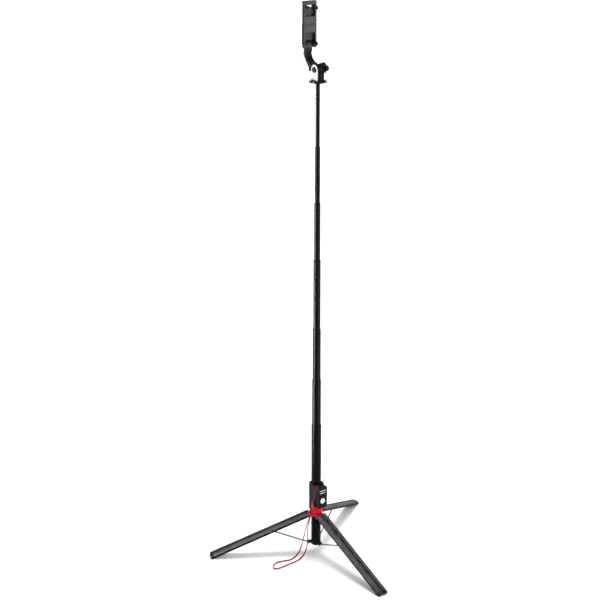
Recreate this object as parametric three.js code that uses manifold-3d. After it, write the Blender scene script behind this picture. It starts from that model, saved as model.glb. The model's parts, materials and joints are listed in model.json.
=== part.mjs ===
// Phone selfie stick on a folding three-leg stand, shown partly extended. Millimetres, +Z up.
// The origin is on the floor, at the centre of the box round the three feet.
// The remote faces -Y. The pole stands behind the origin, because one leg points forwards.
import * as THREE from 'three';
import { mergeVertices } from 'three/addons/utils/BufferGeometryUtils.js';
import Module from 'manifold-3d';

const wasm = await Module();
wasm.setup();

// ---- Driving dimensions -------------------------------------------------------------------
const GAP = 0.3;
const FACETS = 24;

// Telescopic pole: heights of the tube tops above the floor, thickest tube first.
const TUBE_TOPS = [275.5, 371, 475, 613.5, 723.5, 829, 954.3];
const OUTER_TUBE_BOTTOM = 23.6;
const INNER_TUBE_LENGTH = 240;
const TUBE_RADIUS = 9.5;
const TUBE_STEP = 0.9335;
const TUBE_WALL = 0.6;
const BUSH_HEIGHT = 7;

// Folding stand.
const LEG_AZIMUTHS = [-90, 30, 150];
const LEG_PIVOT_RADIUS = 17;
const LEG_LENGTH = 208;
const LEG_SLOPE = THREE.MathUtils.degToRad(23);
const LEG_HALF_WIDTH = 11;
const LEG_BOTTOM = -2.1;
const LEG_EDGE = 2.9;
const LEG_CROWN = 5.9;
const LEG_START = -2.5;
const LEG_CAP_LENGTH = 6.2;
const FOOT_FLAT_DEPTH = 0.8;
const HUB_PIVOT_Z = LEG_LENGTH * Math.sin(LEG_SLOPE) - LEG_BOTTOM * Math.cos(LEG_SLOPE) - FOOT_FLAT_DEPTH;
const HUB_RADIUS = 12.5;
const HUB_BORE = TUBE_RADIUS + 0.35;
const HUB_BELOW = 1.4;
const HUB_FRONT_TOP = 103.7;
const HUB_REAR_TOP = 94.2;
const STRUT_ON_LEG = 80;
const STRUT_BELOW_LEG_AXIS = -0.2;
const ANCHOR_BOTTOM = 15.5;
const ANCHOR_PIVOT_RADIUS = 13;
const ANCHOR_PIVOT_Z = 18.8;

// Housing round the pole, with the remote docked on its front.
const HOUSING_TOP = 151.5;
const HOUSING_HALF_WIDTH = 12;
const HOUSING_REAR = 11.2;
const HOUSING_FRONT = -10.6;
const DOCK_RAIL_DEPTH = 1.5;
const DOCK_RAIL_HALF_WIDTH = 5;
const DOCK_RAIL_BOTTOM = 106;
const DOCK_RAIL_TOP = 142;
const REMOTE_HALF_WIDTH = 10.9;
const REMOTE_BOTTOM = 104;
const REMOTE_TOP = 149.5;
const REMOTE_BACK = HOUSING_FRONT - GAP;
const REMOTE_SPLIT = -15.2;
const REMOTE_FRONT = -20.8;
const REMOTE_CORNER = 4;
const BUTTON_Z = 119.3;
const BUTTON_RADIUS = 5.6;
const BATTERY_Z = 138;
const BATTERY_RADIUS = 8;

// Head on top of the thinnest tube.
const DISC_BOTTOM = 949.3;
const DISC_TOP = 952.3;
const DISC_RADIUS = 13;
const KNUCKLE_BOTTOM = DISC_TOP + GAP;
const TILT_Z = 971.6;
const KNUCKLE_HALF_WIDTH = 6.8;
const KNUCKLE_HALF_DEPTH = 9.6;
const FINGER_X = 2.9;
const FINGER_HALF_THICKNESS = 1;
const FINGER_RADIUS = 8.4;
const SLOT_FLOOR = 961.6;
const ARM_TOP = 998.2;
const ARM_BACK = 33;
const NECK_Y = 30.2;

// Phone clamp.
const CLAMP_TURN = THREE.MathUtils.degToRad(-12);
const CLAMP_BOTTOM = 1007;
const CLAMP_TOP = 1089;
const CLAMP_SPLIT = 1048;
const CLAMP_HALF_WIDTH = 12.3;
const CLAMP_FRONT = 18.9;
const CLAMP_BACK = 26.5;
const JAW_HINGE_Y = 22;
const JAW_HINGE_INSET = 9.4;
const JAW_REACH = 23;
const JAW_OUTER = 8.9;
const JAW_INNER = 5.6;
const JAW_HALF_HEIGHT = 2.1;
const POCKET_BACK = 25.3;
const TONGUE_FRONT = CLAMP_BACK + GAP;
const TONGUE_BACK = 30.8;

// Lanyard: a string from the remote to a crimp, and a ribbon loop that reaches the floor.
const STRING_DIAMETER = 1.4;
const RIBBON_WIDTH = 3;
const STRING_ROUTE = [
  [-8, -17.6, 149.9], [-8.1, -17.6, 151.3], [-9.5, -17.1, 152.6], [-11.6, -16.1, 152], [-12.9, -14.9, 149.2],
  [-13.7, -14.1, 143], [-14.1, -13.5, 133], [-14.6, -12, 123.5], [-14.8, -9.5, 116.5], [-14.8, -8.3, 113.2],
];
const RIBBON_ROUTE = [
  [-15, -6.2, 99.2], [-15.6, -6.4, 96], [-18.4, -7.2, 91.5], [-22.8, -8.6, 85], [-28.4, -9.9, 75.4],
  [-33.2, -10.5, 65], [-40, -11.4, 45], [-46.4, -12.2, 27.5], [-54, -10.6, 13.5], [-66, -6, 4.6],
  [-80, 2.4, 1.9], [-93, 5, 1.7], [-104.4, 0, 1.7], [-109.2, -8.2, 1.7], [-105, -14, 1.7], [-93.3, -14.6, 1.7],
  [-81.6, -14.4, 1.9], [-70, -16.6, 3.4], [-59.4, -20.6, 7.5], [-49.8, -23.6, 15.5], [-43, -24.4, 27.5],
  [-39, -22.8, 40], [-36.3, -19.6, 56], [-33, -16.6, 68], [-27.6, -13.9, 80.5], [-21.6, -11.8, 90.5],
  [-16.6, -10.2, 96], [-15, -9.8, 99.2],
];
const CRIMP_CENTRE = [-14.8, -8];
const CRIMP_BOTTOM = 100.2;
const CRIMP_TOP = 112.7;

// ---- Solids -------------------------------------------------------------------------------

// The geometry with shared vertices merged, collapsed triangles dropped and faces pointing out.
function closed(geometry) {
  const bare = geometry.clone();
  bare.deleteAttribute('normal');
  bare.deleteAttribute('uv');
  const merged = mergeVertices(bare, 1e-4);
  const corners = merged.index.array;
  const points = merged.attributes.position;
  const [a, b, c] = [new THREE.Vector3(), new THREE.Vector3(), new THREE.Vector3()];
  const kept = [];
  let volume = 0;
  for (let i = 0; i < corners.length; i += 3) {
    const [p, q, r] = [corners[i], corners[i + 1], corners[i + 2]];
    if (p === q || q === r || r === p) continue;
    kept.push(p, q, r);
    volume += a.fromBufferAttribute(points, p).dot(
      b.fromBufferAttribute(points, q).cross(c.fromBufferAttribute(points, r)),
    );
  }
  merged.setIndex(volume < 0 ? kept.reverse() : kept);
  return merged;
}

function toSolid(geometry) {
  const { index, attributes } = closed(geometry);
  const vertProperties = new Float32Array(attributes.position.array);
  const triVerts = new Uint32Array(index.array);
  return new wasm.Manifold(new wasm.Mesh({ numProp: 3, vertProperties, triVerts }));
}

function toGeometry(solid) {
  const { vertProperties, triVerts } = solid.getMesh();
  const geometry = new THREE.BufferGeometry();
  geometry.setAttribute('position', new THREE.BufferAttribute(new Float32Array(vertProperties), 3));
  geometry.setIndex(new THREE.BufferAttribute(new Uint32Array(triVerts), 1));
  geometry.computeVertexNormals();
  return geometry;
}

// The first geometry joined with `joins` and then cut by `cuts`.
function carve(first, joins, cuts) {
  let solid = toSolid(first);
  for (const piece of joins) solid = solid.add(toSolid(piece));
  for (const piece of cuts) solid = solid.subtract(toSolid(piece));
  return toGeometry(solid);
}

function box(x, y, z) {
  const block = new THREE.BoxGeometry(x[1] - x[0], y[1] - y[0], z[1] - z[0]);
  return block.translate((x[0] + x[1]) / 2, (y[0] + y[1]) / 2, (z[0] + z[1]) / 2);
}

function flatExtrusion(shape, depth) {
  return new THREE.ExtrudeGeometry(shape, { depth, bevelEnabled: false, curveSegments: 7, steps: 1 });
}

// An outline in (y, z), pulled along X.
function alongX(shape, x0, x1) {
  const turn = new THREE.Matrix4().makeBasis(
    new THREE.Vector3(0, 1, 0), new THREE.Vector3(0, 0, 1), new THREE.Vector3(1, 0, 0),
  );
  return flatExtrusion(shape, x1 - x0).applyMatrix4(turn).translate(x0, 0, 0);
}

// An outline in (x, z), pulled along Y.
function alongY(shape, y0, y1) {
  return flatExtrusion(shape, y1 - y0).rotateX(Math.PI / 2).translate(0, y1, 0);
}

// An outline in (x, y), pulled along Z.
function alongZ(shape, z0, z1) {
  return flatExtrusion(shape, z1 - z0).translate(0, 0, z0);
}

// A profile of [radius, height] points turned about Z.
function turned(profile, facets = FACETS) {
  const points = profile.map(([radius, height]) => new THREE.Vector2(radius, height));
  return new THREE.LatheGeometry(points, facets).rotateX(Math.PI / 2);
}

function rod(radius, z0, z1, facets = FACETS) {
  return turned([[0, z0], [radius, z0], [radius, z1], [0, z1]], facets);
}

function rodX(radius, x0, x1, y, z, facets = 16) {
  return rod(radius, x0, x1, facets).rotateY(Math.PI / 2).translate(0, y, z);
}

function rodY(radius, y0, y1, x, z, facets = 16) {
  return rod(radius, -y1, -y0, facets).rotateX(Math.PI / 2).translate(x, 0, z);
}

function polygon(points) {
  return new THREE.Shape(points.map(([x, y]) => new THREE.Vector2(x, y)));
}

function roundedRectangle(x0, x1, y0, y1, radius) {
  const shape = new THREE.Shape();
  shape.moveTo(x0 + radius, y0);
  shape.lineTo(x1 - radius, y0);
  shape.absarc(x1 - radius, y0 + radius, radius, -Math.PI / 2, 0);
  shape.absarc(x1 - radius, y1 - radius, radius, 0, Math.PI / 2);
  shape.absarc(x0 + radius, y1 - radius, radius, Math.PI / 2, Math.PI);
  shape.absarc(x0 + radius, y0 + radius, radius, Math.PI, Math.PI * 1.5);
  return shape;
}

// ---- Materials ----------------------------------------------------------------------------

function finish(color, roughness, metalness) {
  return () => new THREE.MeshStandardMaterial({ color, roughness, metalness });
}

const tubeBlack = finish(0x101012, 0.3, 0.7);
const shellBlack = finish(0x17181a, 0.5, 0);
const legGrey = finish(0x3c3e40, 0.7, 0);
const darkPlastic = finish(0x1c1d1f, 0.6, 0);
const facePlastic = finish(0x4a4b4d, 0.55, 0);
const hubRed = finish(0xc8102a, 0.45, 0);
const silver = finish(0xc4c6c8, 0.35, 0.8);
const steel = finish(0x8c8f92, 0.3, 1);
const white = finish(0xf0f0f0, 0.4, 0);
const nylon = finish(0xe6e2d6, 0.6, 0);
const boardGreen = finish(0x1f5a34, 0.6, 0);
const strapRed = finish(0xb01832, 0.8, 0);

function part(name, geometry, material) {
  const mesh = new THREE.Mesh(geometry, material());
  mesh.name = name;
  return mesh;
}

// ---- Telescopic pole ----------------------------------------------------------------------

function tubeOuterRadius(i) {
  return TUBE_RADIUS - i * TUBE_STEP;
}

// A thin tube with a rolled groove under its mouth, where the next tube is held.
function tubeGeometry(i, bottom) {
  const radius = tubeOuterRadius(i);
  const bore = radius - TUBE_WALL;
  const top = TUBE_TOPS[i];
  return turned([
    [radius, bottom], [radius, top - 7], [radius - 0.15, top - 6.5], [radius - 0.15, top - 5.5],
    [radius, top - 5], [radius, top - 0.6], [radius - 0.25, top], [bore, top], [bore, bottom], [radius, bottom],
  ]);
}

// The thickest tube has three long flats, which keep the sliding hub from turning.
function outerTube() {
  const flats = [-150, -30, 90].map((azimuth) => (
    box([TUBE_RADIUS - 0.25, TUBE_RADIUS + 1], [-6, 6], [20, 150]).rotateZ(THREE.MathUtils.degToRad(azimuth))
  ));
  return part('outer_tube', carve(tubeGeometry(0, OUTER_TUBE_BOTTOM), [], flats), tubeBlack);
}

function innerTube(i) {
  const bottom = TUBE_TOPS[i] - INNER_TUBE_LENGTH;
  const radius = tubeOuterRadius(i);
  const bore = radius - TUBE_WALL;
  const bushTop = bottom - GAP;
  const bush = turned([
    [radius + 0.06, bushTop - BUSH_HEIGHT], [radius + 0.06, bushTop], [bore, bushTop],
    [bore, bushTop - BUSH_HEIGHT], [radius + 0.06, bushTop - BUSH_HEIGHT],
  ]);
  const group = new THREE.Group();
  group.add(part(`inner_tube_${i}`, closed(tubeGeometry(i, bottom)), tubeBlack));
  group.add(part(`tube_bush_${i}`, closed(bush), nylon));
  return group;
}

// The foot of the pole: a plug with three forked lugs. Each fork is open downwards, where a strut's pin sits.
function strutAnchor() {
  const lugs = [];
  const cuts = [];
  for (const azimuth of LEG_AZIMUTHS) {
    const turn = THREE.MathUtils.degToRad(azimuth);
    const notchTop = ANCHOR_PIVOT_Z + 1.5;
    lugs.push(box([8, 16], [-3.3, 3.3], [ANCHOR_BOTTOM + 1, 22.8]).rotateZ(turn));
    cuts.push(box([9.9, 20], [-1.4, 1.4], [ANCHOR_BOTTOM - 1, 40]).rotateZ(turn));
    cuts.push(box([10.6, 14.6], [-4, 4], [ANCHOR_BOTTOM - 1, notchTop]).rotateZ(turn));
  }
  const plug = turned([
    [0, ANCHOR_BOTTOM], [9, ANCHOR_BOTTOM], [9.5, ANCHOR_BOTTOM + 0.5], [9.5, OUTER_TUBE_BOTTOM - GAP],
    [8.5, OUTER_TUBE_BOTTOM - GAP], [8.5, 28], [0, 28],
  ]);
  return part('strut_anchor', carve(plug, lugs, cuts), darkPlastic);
}

// ---- Hub, housing and remote --------------------------------------------------------------

// The red collar that slides on the pole, tapered below, with a lug for each leg. Its front half is taller.
function hub() {
  const lugs = [];
  const cuts = [
    rod(HUB_BORE, HUB_PIVOT_Z - 20, HUB_PIVOT_Z + 40),
    box([-20, 20], [0, 20], [HUB_REAR_TOP, HUB_PIVOT_Z + 40]),
  ];
  for (const azimuth of LEG_AZIMUTHS) {
    const turn = THREE.MathUtils.degToRad(azimuth);
    const zRange = [HUB_PIVOT_Z - HUB_BELOW, HUB_PIVOT_Z + 3.2];
    lugs.push(box([10.5, LEG_PIVOT_RADIUS], [-8.6, 8.6], zRange).rotateZ(turn));
    lugs.push(rodY(3.2, -8.6, 8.6, LEG_PIVOT_RADIUS, HUB_PIVOT_Z, 20).rotateZ(turn));
    cuts.push(rodY(1.3, -10, 10, LEG_PIVOT_RADIUS, HUB_PIVOT_Z, 12).rotateZ(turn));
  }
  const bottom = HUB_PIVOT_Z - HUB_BELOW;
  const collar = turned([
    [0, bottom], [HUB_RADIUS - 1.2, bottom], [HUB_RADIUS, bottom + 4], [HUB_RADIUS, HUB_FRONT_TOP - 0.6],
    [HUB_RADIUS - 0.6, HUB_FRONT_TOP], [0, HUB_FRONT_TOP],
  ], 32);
  return part('hub', carve(collar, lugs, cuts), hubRed);
}

// Half of the housing's plan outline, cut round the pole. side is 1 for the rear half and -1 for the front half.
function housingOutline(side, depth, corner) {
  const split = 0.15;
  const start = Math.asin(split / HUB_BORE);
  const shape = new THREE.Shape();
  shape.moveTo(-HOUSING_HALF_WIDTH, split);
  shape.lineTo(-HOUSING_HALF_WIDTH, depth - corner);
  shape.absarc(-HOUSING_HALF_WIDTH + corner, depth - corner, corner, Math.PI, Math.PI / 2, true);
  shape.lineTo(HOUSING_HALF_WIDTH - corner, depth);
  shape.absarc(HOUSING_HALF_WIDTH - corner, depth - corner, corner, Math.PI / 2, 0, true);
  shape.lineTo(HOUSING_HALF_WIDTH, split);
  shape.absarc(0, 0, HUB_BORE, start, Math.PI - start, false);
  if (side > 0) return shape;
  return polygon(shape.getPoints(10).map((point) => [-point.x, -point.y]));
}

function housing() {
  const group = new THREE.Group();
  const rear = alongZ(housingOutline(1, HOUSING_REAR, 6), HUB_REAR_TOP + GAP, HOUSING_TOP);
  const front = alongZ(housingOutline(-1, -HOUSING_FRONT, 3), HUB_FRONT_TOP + GAP, HOUSING_TOP);
  const rail = box(
    [-DOCK_RAIL_HALF_WIDTH, DOCK_RAIL_HALF_WIDTH],
    [HOUSING_FRONT - DOCK_RAIL_DEPTH, HOUSING_FRONT + 0.5],
    [DOCK_RAIL_BOTTOM, DOCK_RAIL_TOP],
  );
  group.add(part('housing_rear', closed(rear), shellBlack));
  group.add(part('housing_front', carve(front, [rail], []), shellBlack));
  return group;
}

function remoteOutline(inset) {
  return roundedRectangle(
    -REMOTE_HALF_WIDTH + inset, REMOTE_HALF_WIDTH - inset,
    REMOTE_BOTTOM + inset, REMOTE_TOP - inset, REMOTE_CORNER - inset,
  );
}

// The remote: two shells round a circuit board and a coin cell, with one round button.
function remote() {
  const group = new THREE.Group();
  const wall = 1.5;
  const backFloor = REMOTE_SPLIT + 0.8;
  const frontFloor = REMOTE_FRONT + 1.2;
  const groove = box(
    [-DOCK_RAIL_HALF_WIDTH - GAP, DOCK_RAIL_HALF_WIDTH + GAP],
    [REMOTE_BACK - DOCK_RAIL_DEPTH, REMOTE_BACK + 1],
    [REMOTE_BOTTOM - 1, DOCK_RAIL_TOP + GAP],
  );
  const back = alongY(remoteOutline(0), REMOTE_SPLIT, REMOTE_BACK);
  const backHollow = alongY(remoteOutline(wall), REMOTE_SPLIT - 1, backFloor);
  const front = alongY(remoteOutline(0), REMOTE_FRONT, REMOTE_SPLIT - GAP);
  const frontHollow = alongY(remoteOutline(wall), frontFloor, REMOTE_SPLIT + 1);
  const buttonHole = rodY(BUTTON_RADIUS + GAP, REMOTE_FRONT - 1, REMOTE_SPLIT, 0, BUTTON_Z, 32);
  const boardBack = backFloor - GAP;
  const board = alongY(remoteOutline(wall + 0.4), boardBack - 0.8, boardBack);
  const battery = rodY(BATTERY_RADIUS, frontFloor + GAP, boardBack - 0.8 - GAP, 0, BATTERY_Z, 32);
  const buttonBack = -REMOTE_FRONT - 2.1;
  const buttonFace = 0.8 - REMOTE_FRONT;
  const button = turned([
    [0, buttonBack], [BUTTON_RADIUS, buttonBack], [BUTTON_RADIUS, buttonFace - 0.4],
    [BUTTON_RADIUS - 0.4, buttonFace], [0, buttonFace],
  ], 32).rotateX(Math.PI / 2).translate(0, 0, BUTTON_Z);
  group.add(part('remote_back', carve(back, [], [groove, backHollow]), darkPlastic));
  group.add(part('remote_front', carve(front, [], [frontHollow, buttonHole]), shellBlack));
  group.add(part('remote_board', closed(board), boardGreen));
  group.add(part('remote_battery', closed(battery), steel));
  group.add(part('remote_button', closed(button), white));
  return group;
}

// ---- Legs and struts ----------------------------------------------------------------------

// The crown of a leg: an arc from the right shoulder to the left one.
function addCrown(shape, halfWidth) {
  const rise = LEG_CROWN - LEG_EDGE;
  const radius = (LEG_HALF_WIDTH ** 2 + rise ** 2) / (2 * rise);
  const sweep = Math.asin(halfWidth / radius);
  shape.absarc(0, LEG_CROWN - radius, radius, Math.PI / 2 - sweep, Math.PI / 2 + sweep);
}

// The leg's own frame has X along the leg, away from the hub, and Z on the leg's top side.
function legChannel() {
  const [wall, side, shoulder, inner] = [9, 10.8, 7.1, 6.1];
  const [flange, flangeUnder, web, webUnder] = [1.5, 0.5, 3.3, 2.5];
  const outline = polygon([
    [-side, LEG_BOTTOM], [-wall, LEG_BOTTOM], [-wall, flangeUnder], [-inner, flangeUnder], [-inner, webUnder],
    [inner, webUnder], [inner, flangeUnder], [wall, flangeUnder], [wall, LEG_BOTTOM], [side, LEG_BOTTOM],
    [side, flange], [shoulder, flange], [shoulder, web], [-shoulder, web], [-shoulder, flange], [-side, flange],
  ]);
  const end = LEG_LENGTH - LEG_CAP_LENGTH - GAP;
  const ears = [];
  for (const [y0, y1] of [[-side, -wall], [wall, side]]) {
    ears.push(box([0, 6], [y0, y1], [LEG_BOTTOM, flange]));
    ears.push(rodY(2.7, y0, y1, 0, 0, 20));
  }
  const cuts = [
    box([-5, 5], [-12, 12], [flange, 6]),
    rodY(1.25, -12, 12, 0, 0, 12),
    rodY(1.3, -12, 12, STRUT_ON_LEG, STRUT_BELOW_LEG_AXIS, 12),
  ];
  return carve(alongX(outline, 5, end), ears, cuts);
}

// The grip strip on a leg: crowned, with a groove down the middle and a row of slots in it.
function legCover() {
  const [skirt, skirtBottom, grooveHalf, grooveFloor, underside] = [7.4, 1.8, 1.9, 5, 3.6];
  const shape = new THREE.Shape();
  shape.moveTo(skirt, skirtBottom);
  shape.lineTo(LEG_HALF_WIDTH, skirtBottom);
  shape.lineTo(LEG_HALF_WIDTH, LEG_EDGE);
  addCrown(shape, LEG_HALF_WIDTH);
  shape.lineTo(-LEG_HALF_WIDTH, skirtBottom);
  shape.lineTo(-skirt, skirtBottom);
  shape.lineTo(-skirt, underside);
  shape.lineTo(skirt, underside);
  const end = LEG_LENGTH - LEG_CAP_LENGTH - GAP;
  const cuts = [
    box([-9, 300], [-grooveHalf, grooveHalf], [grooveFloor, 10]),
    box([-9, 4], [-8.8, 8.8], [skirtBottom - 1, underside]),
  ];
  for (let slot = 0; slot < 7; slot += 1) {
    const middle = 18 + slot * 27;
    cuts.push(box([middle - 4.5, middle + 4.5], [-1.2, 1.2], [0, 10]));
  }
  return carve(alongX(shape, LEG_START, end), [], cuts);
}

// The plug in the end of a leg. Its lower corner is cut level with the floor.
function legCap(legFrame) {
  const side = 10.8;
  const shape = new THREE.Shape();
  shape.moveTo(-side, LEG_BOTTOM);
  shape.lineTo(side, LEG_BOTTOM);
  shape.lineTo(LEG_HALF_WIDTH, LEG_EDGE);
  addCrown(shape, LEG_HALF_WIDTH);
  const floor = box([0, 300], [-50, 50], [-50, 0]).applyMatrix4(legFrame.clone().invert());
  return carve(alongX(shape, LEG_LENGTH - LEG_CAP_LENGTH, LEG_LENGTH), [], [floor]);
}

// A headed pin along Y.
function crossPin(radius, headRadius, halfLength, x, z) {
  return turned([
    [0, -halfLength - 0.8], [headRadius, -halfLength - 0.8], [headRadius, -halfLength], [radius, -halfLength],
    [radius, halfLength], [headRadius, halfLength], [headRadius, halfLength + 0.8], [0, halfLength + 0.8],
  ], 12).rotateX(Math.PI / 2).translate(x, 0, z);
}

// A strut lies in the plane of its leg, so its frame has X outwards from the pole and Z up.
function strut(start, end) {
  const [eye, hole, halfThickness, halfDepth] = [2.2, 1.5, 1, 1.1];
  const length = start.distanceTo(end);
  const angle = Math.atan2(end.y - start.y, end.x - start.x);
  const bar = box([0, length], [-halfThickness, halfThickness], [-halfDepth, halfDepth])
    .rotateY(-angle).translate(start.x, 0, start.y);
  const eyes = [start, end].map((point) => rodY(eye, -halfThickness, halfThickness, point.x, point.y));
  const holes = [start, end].map((point) => rodY(hole, -5, 5, point.x, point.y, 12));
  return carve(bar, eyes, holes);
}

function leg(number) {
  const group = new THREE.Group();
  group.rotation.z = THREE.MathUtils.degToRad(LEG_AZIMUTHS[number - 1]);

  const sloped = new THREE.Group();
  sloped.position.set(LEG_PIVOT_RADIUS, 0, HUB_PIVOT_Z);
  sloped.rotation.y = LEG_SLOPE;
  sloped.updateMatrix();
  const rivet = crossPin(1, 1.9, 11.1, STRUT_ON_LEG, STRUT_BELOW_LEG_AXIS);
  sloped.add(part(`leg_channel_${number}`, legChannel(), darkPlastic));
  sloped.add(part(`leg_cover_${number}`, legCover(), legGrey));
  sloped.add(part(`leg_cap_${number}`, legCap(sloped.matrix), shellBlack));
  sloped.add(part(`leg_pin_${number}`, closed(crossPin(0.95, 2, 11.1, 0, 0)), steel));
  sloped.add(part(`strut_rivet_${number}`, closed(rivet), steel));
  group.add(sloped);

  const onLeg = new THREE.Vector3(STRUT_ON_LEG, 0, STRUT_BELOW_LEG_AXIS).applyMatrix4(sloped.matrix);
  const outer = new THREE.Vector2(onLeg.x, onLeg.z);
  const inner = new THREE.Vector2(ANCHOR_PIVOT_RADIUS, ANCHOR_PIVOT_Z);
  const pin = rodY(1.2, -3, 3, inner.x, inner.y, 12);
  group.add(part(`strut_${number}`, strut(outer, inner), steel));
  group.add(part(`strut_pin_${number}`, closed(pin), steel));
  return group;
}

// ---- Head ---------------------------------------------------------------------------------

// The round plate on the top tube that the head swivels on, and the silver washer with two tabs under it.
function swivelPlate() {
  const group = new THREE.Group();
  const rim = DISC_RADIUS;
  const [spigotBase, washerBottom, washerTop] = [DISC_TOP + 2.4, DISC_BOTTOM - 1.5, DISC_BOTTOM - GAP];
  const disc = turned([
    [0, spigotBase], [4.3, spigotBase], [4.3, DISC_BOTTOM], [rim - 0.5, DISC_BOTTOM], [rim, DISC_BOTTOM + 0.6],
    [rim, DISC_TOP - 0.6], [rim - 0.5, DISC_TOP], [6.3, DISC_TOP], [6.3, DISC_TOP + 4], [0, DISC_TOP + 4],
  ], 36);
  const washer = turned([
    [9, washerBottom], [12.4, washerBottom], [12.4, washerTop], [9, washerTop], [9, washerBottom],
  ], 36);
  const tabs = [];
  for (const azimuth of [-36, 144]) {
    const turn = THREE.MathUtils.degToRad(azimuth);
    tabs.push(box([11.2, 16], [-5.6, 5.6], [washerBottom, washerTop]).rotateZ(turn));
    tabs.push(box([14, 16], [-5.6, 5.6], [washerBottom + 0.5, DISC_TOP - 0.3]).rotateZ(turn));
  }
  group.add(part('swivel_disc', closed(disc), shellBlack));
  group.add(part('swivel_washer', carve(washer, tabs, []), silver));
  return group;
}

// The knuckle: round-topped, with two slots for the arm's fingers. Its left cheek is a silver plate.
function knuckle() {
  const group = new THREE.Group();
  const outline = new THREE.Shape();
  outline.moveTo(-KNUCKLE_HALF_DEPTH, KNUCKLE_BOTTOM);
  outline.lineTo(KNUCKLE_HALF_DEPTH, KNUCKLE_BOTTOM);
  outline.absarc(0, TILT_Z, KNUCKLE_HALF_DEPTH, 0, Math.PI);
  const cuts = [rod(6.6, 940, DISC_TOP + 4 + GAP), rodX(2.4, -20, 20, 0, TILT_Z)];
  for (const middle of [-FINGER_X, FINGER_X]) {
    const slot = [middle - FINGER_HALF_THICKNESS - GAP, middle + FINGER_HALF_THICKNESS + GAP];
    cuts.push(box(slot, [-12, 12], [SLOT_FLOOR, 1000]));
    cuts.push(box(slot, [-12, -KNUCKLE_HALF_DEPTH + 1.2], [940, SLOT_FLOOR + 1]));
  }
  const block = alongX(outline, -KNUCKLE_HALF_WIDTH, KNUCKLE_HALF_WIDTH);

  const cheek = new THREE.Shape();
  const [depth, inset] = [KNUCKLE_HALF_DEPTH - 0.4, 0.4];
  cheek.moveTo(-depth, KNUCKLE_BOTTOM + inset);
  cheek.lineTo(depth, KNUCKLE_BOTTOM + inset);
  cheek.absarc(0, TILT_Z, depth, 0, Math.PI);
  const plateFace = -KNUCKLE_HALF_WIDTH - GAP;
  const plate = alongX(cheek, plateFace - 0.8, plateFace);

  const boltHead = -KNUCKLE_HALF_WIDTH - 2.8;
  const bolt = turned([
    [0, boltHead], [4.8, boltHead], [5.2, boltHead + 0.4], [5.2, -KNUCKLE_HALF_WIDTH - GAP],
    [2, -KNUCKLE_HALF_WIDTH - GAP], [2, 14], [0, 14],
  ], 20).rotateY(Math.PI / 2).translate(0, 0, TILT_Z);
  group.add(part('knuckle', carve(block, [], cuts), shellBlack));
  group.add(part('knuckle_plate', carve(plate, [], [rodX(5.5, -20, 0, 0, TILT_Z, 24)]), silver));
  group.add(part('tilt_bolt', closed(bolt), darkPlastic));
  return group;
}

// The three-lobed hand knob on the end of the tilt bolt.
function tiltKnob() {
  const points = [];
  for (let i = 0; i < 48; i += 1) {
    const angle = (i / 48) * Math.PI * 2;
    const radius = 8.6 + 2.1 * Math.cos(3 * (angle - THREE.MathUtils.degToRad(55)));
    points.push([radius * Math.cos(angle), TILT_Z + radius * Math.sin(angle)]);
  }
  const boss = rodX(5, 7.6, 11, 0, TILT_Z, 20);
  const bore = rodX(2.3, 0, 14.4, 0, TILT_Z);
  return part('tilt_knob', carve(alongX(polygon(points), 10.6, 17), [boss], [bore]), darkPlastic);
}

// Outline of the curved arm in (y, z), its front edge drawn in by `recess` between the ribs.
function armOutline(recess) {
  const shape = new THREE.Shape();
  const [front, bendY, bendRadius] = [10.2, 9, 18.5 + recess];
  const join = Math.asin((front - bendY) / bendRadius);
  shape.moveTo(bendY + bendRadius, ARM_TOP);
  shape.absarc(bendY, ARM_TOP, bendRadius, 0, -Math.PI / 2 + join, true);
  shape.lineTo(front, 968.7);
  shape.absarc(front + 2.5, 968.7, 2.5, Math.PI, Math.PI * 1.5, false);
  shape.lineTo(18, 966.2);
  shape.splineThru([
    [21.4, 968.7], [25.4, 974.3], [29.2, 980.3], [31.6, 985.7], [32.7, 991.7], [ARM_BACK, ARM_TOP],
  ].map(([y, z]) => new THREE.Vector2(y, z)));
  return shape;
}

function arm() {
  const group = new THREE.Group();
  const edge = KNUCKLE_HALF_WIDTH;
  const ribs = [[-edge, -4.3], [-1.45, 1.45], [4.3, edge]];
  const core = alongX(armOutline(0.9), -edge, edge);
  const joins = ribs.map(([x0, x1]) => alongX(armOutline(0), x0, x1));
  const finger = new THREE.Shape();
  finger.moveTo(0, TILT_Z - FINGER_RADIUS);
  finger.lineTo(11.6, 967.6);
  finger.lineTo(11.6, 979);
  finger.lineTo(0, TILT_Z + FINGER_RADIUS);
  finger.absarc(0, TILT_Z, FINGER_RADIUS, Math.PI / 2, Math.PI * 1.5);
  for (const middle of [-FINGER_X, FINGER_X]) {
    joins.push(alongX(finger, middle - FINGER_HALF_THICKNESS, middle + FINGER_HALF_THICKNESS));
  }
  const cuts = [rodX(2.4, -20, 20, 0, TILT_Z), rod(2.2, 988, 1004, 12).translate(0, NECK_Y, 0)];
  const side = polygon([
    [18.4, 966.4], [21.8, 968.9], [25.9, 974.4], [29.7, 980.3], [32, 985.8], [33.1, 991.7], [33.4, 997.8],
    [30.6, 997.8], [30, 992.4], [28.2, 987.6], [25.2, 983.4], [21, 979.2], [17.4, 974.4], [15.8, 969],
  ]);
  const plateFace = -edge - GAP;
  group.add(part('arm', carve(core, joins, cuts), shellBlack));
  group.add(part('arm_plate', closed(alongX(side, plateFace - 0.8, plateFace)), silver));
  return group;
}

// The block under the clamp. Its stem turns in the top of the arm.
function neckCollar() {
  const stem = rod(1.9, 989.6, ARM_TOP + 1, 12).translate(0, NECK_Y, 0);
  const block = box([-6, 6], [23.6, 34], [ARM_TOP + GAP, CLAMP_BOTTOM - GAP]);
  return part('neck_collar', carve(block, [stem], []), shellBlack);
}

// ---- Phone clamp --------------------------------------------------------------------------

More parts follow.
